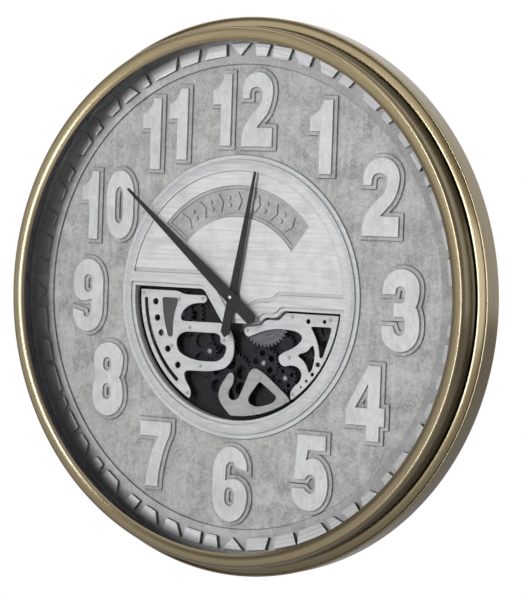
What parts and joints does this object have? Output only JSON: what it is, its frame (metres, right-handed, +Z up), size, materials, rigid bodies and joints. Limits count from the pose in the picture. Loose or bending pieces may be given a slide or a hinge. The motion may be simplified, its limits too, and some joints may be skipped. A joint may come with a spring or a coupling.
{
  "type": "wall clock",
  "caption": "Large round wall clock with raised numerals and a half-moon window over a turning gear train.",
  "frame": {"origin": "on the axis of the hands, in the plane of the wall that the bumpers rest on", "axes": "+Z up towards twelve, -Y out of the dial towards the viewer, +X towards three"},
  "size_m": [0.5999, 0.0585, 0.6],
  "materials": {
    "bezel": "brushed champagne metal with a soft sheen",
    "glass": "clear and polished",
    "gasket": "matt black",
    "dark_ring": "satin charcoal",
    "dial": "mottled grey, aged",
    "ring": "circular brushed, aged in the corners",
    "inlay": "straight brushed",
    "plaque": "aged grey with worn marks",
    "numeral_base": "aged grey",
    "numeral_face": "brushed and worn",
    "bridge": "bright brushed",
    "bridge_warm": "brushed, slightly warm",
    "post": "satin dark grey",
    "screw": "turned steel",
    "gear_plate": "matt black",
    "pin": "turned steel",
    "cap": "polished",
    "main_gear": "grey steel, oiled",
    "gear": "dark steel, oiled",
    "gear_light": "grey steel, oiled",
    "motor": "plated steel can",
    "black_plastic": "fine moulded texture",
    "cell": "plain wrapped cell",
    "knob": "ivory plastic",
    "brass": "turned brass",
    "arbor": "turned steel",
    "hand": "satin charcoal",
    "panel": "dark board",
    "slider": "grey plastic",
    "hanger": "zinc plated",
    "bumper": "soft black"
  },
  "bodies": {
    "case": {"rear_band": "bezel", "front_bezel": "bezel", "front_glass": "glass", "glass_gasket": "gasket", "spacer_ring": "dark_ring", "dial_plate": "dial", "outer_ring": "ring", "centre_boss": "ring", "centre_inlay": "inlay", "plaque": "plaque", "numeral_bases": "numeral_base", "numeral_faces": "numeral_face", "left_bridge": "bridge", "right_bridge": "bridge", "lower_bridge": "bridge_warm", "bridge_posts": "post", "bridge_screws": "screw", "gear_plate": "gear_plate", "plate_pillars": "post", "plate_screws": "screw", "gear_pins": "pin", "pin_caps": "cap", "gear_motor": "motor", "motor_screws": "screw", "movement_case": "black_plastic", "movement_cell": "cell", "threaded_bush": "brass", "bush_spacer": "dark_ring", "fixing_nut": "brass", "back_panel": "panel", "panel_screw_set": "screw", "dial_screws": "screw", "battery_box": "black_plastic", "battery_cells": "cell", "switch_body": "black_plastic", "hanger_plate": "hanger", "hanger_screws": "screw", "wall_bumpers": "bumper"},
    "main_gear": {"main_wheel": "main_gear"},
    "motor_gear": {"motor_pinion": "gear"},
    "idler_gear": {"round_idler": "gear"},
    "lower_gear": {"lower_wheel": "gear"},
    "left_gear": {"left_wheel": "gear", "left_pinion": "gear"},
    "third_gear": {"third_wheel": "gear", "third_pinion": "gear"},
    "fourth_gear": {"fourth_wheel": "gear_light"},
    "small_gear": {"small_idler": "gear"},
    "right_gear": {"right_wheel": "gear"},
    "minute": {"minute_arbor": "arbor", "minute_hand": "hand"},
    "hour": {"hour_tube": "brass", "hour_hand": "hand"},
    "knob": {"set_knob": "knob"},
    "lid": {"battery_lid": "black_plastic"},
    "switch": {"switch_slider": "slider"}
  },
  "joints": [
    {"name": "main_spin", "type": "hinge", "parent": "case", "child": "main_gear", "pos_m": [0.03299, 0, -0.02093], "axis": [0, -1, 0], "continuous": true},
    {"name": "motor_spin", "type": "hinge", "parent": "case", "child": "motor_gear", "pos_m": [0.06133, 0, -0.04773], "axis": [0, -1, 0], "continuous": true},
    {"name": "idler_spin", "type": "hinge", "parent": "case", "child": "idler_gear", "pos_m": [0.03299, 0, -0.06893], "axis": [0, -1, 0], "continuous": true},
    {"name": "lower_spin", "type": "hinge", "parent": "case", "child": "lower_gear", "pos_m": [-0.01054, 0, -0.08914], "axis": [0, -1, 0], "continuous": true},
    {"name": "left_spin", "type": "hinge", "parent": "case", "child": "left_gear", "pos_m": [-0.03669, 0, -0.06021], "axis": [0, -1, 0], "continuous": true},
    {"name": "third_spin", "type": "hinge", "parent": "case", "child": "third_gear", "pos_m": [-0.07487, 0, -0.02202], "axis": [0, -1, 0], "continuous": true},
    {"name": "fourth_spin", "type": "hinge", "parent": "case", "child": "fourth_gear", "pos_m": [-0.10239, 0, -0.03734], "axis": [0, -1, 0], "continuous": true},
    {"name": "small_spin", "type": "hinge", "parent": "case", "child": "small_gear", "pos_m": [0.06098, 0, -0.08338], "axis": [0, -1, 0], "continuous": true},
    {"name": "right_spin", "type": "hinge", "parent": "case", "child": "right_gear", "pos_m": [0.09334, 0, -0.03975], "axis": [0, -1, 0], "continuous": true},
    {"name": "minute_spin", "type": "hinge", "parent": "case", "child": "minute", "pos_m": [0, 0, 0], "axis": [0, -1, 0], "continuous": true},
    {"name": "hour_spin", "type": "hinge", "parent": "case", "child": "hour", "pos_m": [0, 0, 0], "axis": [0, -1, 0], "continuous": true},
    {"name": "knob_spin", "type": "hinge", "parent": "case", "child": "knob", "pos_m": [0.01841, 0, -0.00139], "axis": [0, -1, 0], "continuous": true},
    {"name": "lid_slide", "type": "slide", "parent": "case", "child": "lid", "axis": [1, 0, 0], "range_m": [0, 0.012]},
    {"name": "switch_slide", "type": "slide", "parent": "case", "child": "switch", "axis": [1, 0, 0], "range_m": [0, 0.004]}
  ],
  "couplings": [
    {"joint": "motor_spin", "follows": "main_spin", "ratio": -3.3333},
    {"joint": "idler_spin", "follows": "main_spin", "ratio": -1.6667},
    {"joint": "lower_spin", "follows": "main_spin", "ratio": 1},
    {"joint": "left_spin", "follows": "main_spin", "ratio": -3.3333},
    {"joint": "third_spin", "follows": "main_spin", "ratio": 4.1667},
    {"joint": "fourth_spin", "follows": "main_spin", "ratio": -3.125},
    {"joint": "small_spin", "follows": "main_spin", "ratio": 2.2222},
    {"joint": "right_spin", "follows": "main_spin", "ratio": 1.25},
    {"joint": "hour_spin", "follows": "minute_spin", "ratio": 0.083333},
    {"joint": "knob_spin", "follows": "minute_spin", "ratio": 1}
  ]
}
